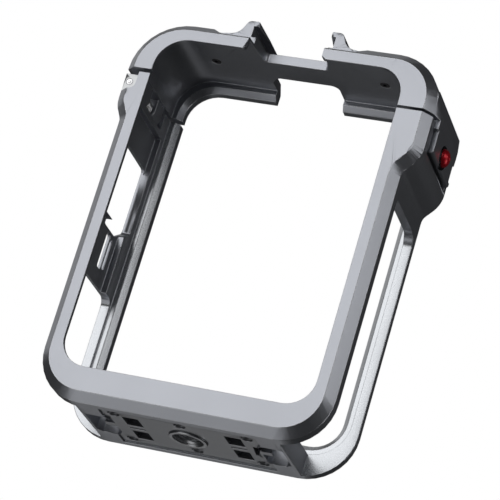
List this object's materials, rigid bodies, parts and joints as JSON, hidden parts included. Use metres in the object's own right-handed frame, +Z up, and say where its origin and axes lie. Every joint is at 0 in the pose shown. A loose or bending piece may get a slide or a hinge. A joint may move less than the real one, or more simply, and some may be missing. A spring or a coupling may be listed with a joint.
{
  "type": "camera cage",
  "caption": "Machined metal ring cage for an upright pocket camera, with a hinged top door, cold shoe, push latch and tripod base.",
  "frame": {"origin": "On the axis of the tripod thread, in the plane of the foot that the cage stands on.", "axes": "+X to the right seen from the front (latch side), +Y from the front face to the rear face, +Z up from the foot to the cold shoe."},
  "size_m": [0.0743, 0.0274, 0.0943],
  "materials": {
    "anodised_shell": "satin grey anodised",
    "polished_steel": "polished",
    "dark_steel": "blackened",
    "spring_steel": "bright wire",
    "latch_steel": "brushed",
    "red_button": "gloss red",
    "screw_steel": "bright zinc",
    "base_metal": "dark grey anodised",
    "insert_steel": "stainless",
    "pad_rubber": "matt silicone"
  },
  "bodies": {
    "frame": {"cage_frame": "anodised_shell", "hinge_pin": "polished_steel", "hinge_bushes": "dark_steel", "hinge_spring": "spring_steel", "keeper_plate": "dark_steel", "keeper_screws": "screw_steel", "base_plate": "base_metal", "base_screws": "screw_steel", "tripod_insert": "insert_steel", "floor_pad": "pad_rubber", "side_pad": "pad_rubber"},
    "door": {"top_bar": "anodised_shell", "button_bezel": "dark_steel", "button_spring": "spring_steel", "latch_cover": "dark_steel", "latch_cover_screws": "dark_steel", "ceiling_screws": "dark_steel", "ceiling_pads": "pad_rubber"},
    "button": {"release_button": "red_button", "latch_plate": "latch_steel"}
  },
  "joints": [
    {"name": "door_hinge", "type": "hinge", "parent": "frame", "child": "door", "pos_m": [-0.0334, 0, 0.07485], "axis": [0, -1, 0], "range_deg": [0, 100]},
    {"name": "button_press", "type": "slide", "parent": "door", "child": "button", "axis": [-1, 0, 0], "range_m": [0, 0.0008], "stiffness_N_per_m": 300, "springref_m": -0.001, "deforming": ["button_spring"]}
  ]
}
